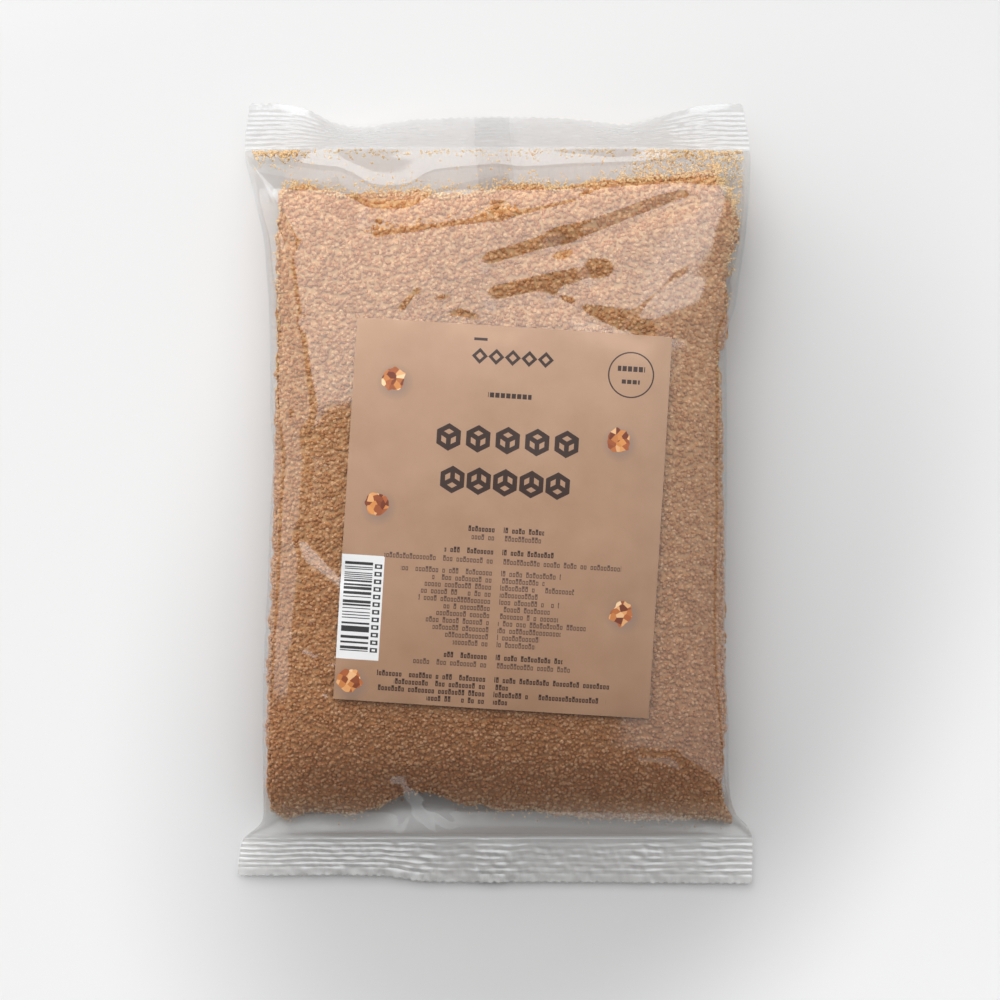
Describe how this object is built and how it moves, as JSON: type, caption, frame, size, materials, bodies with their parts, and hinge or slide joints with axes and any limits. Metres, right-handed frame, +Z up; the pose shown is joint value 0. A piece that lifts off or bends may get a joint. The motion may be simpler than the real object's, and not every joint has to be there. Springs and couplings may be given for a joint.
{
  "type": "pouch of sugar",
  "caption": "Clear film pillow pouch filled with brown cane sugar, crimped shut at both ends, with a paper label on its front, lying flat on its back.",
  "frame": {"origin": "on the table under the middle of the pouch as it lies on its back", "axes": "+Z up through the label, +Y towards the top seal, +X to the right as the label is read"},
  "size_m": [0.1498, 0.227, 0.0297],
  "materials": {
    "film": "clear gloss film over brown sugar",
    "sugar": "loose brown cane sugar crystals",
    "label_paper": "matt brown printed paper"
  },
  "bodies": {
    "root": {"pouch": "film", "label": "label_paper"}
  },
  "joints": []
}
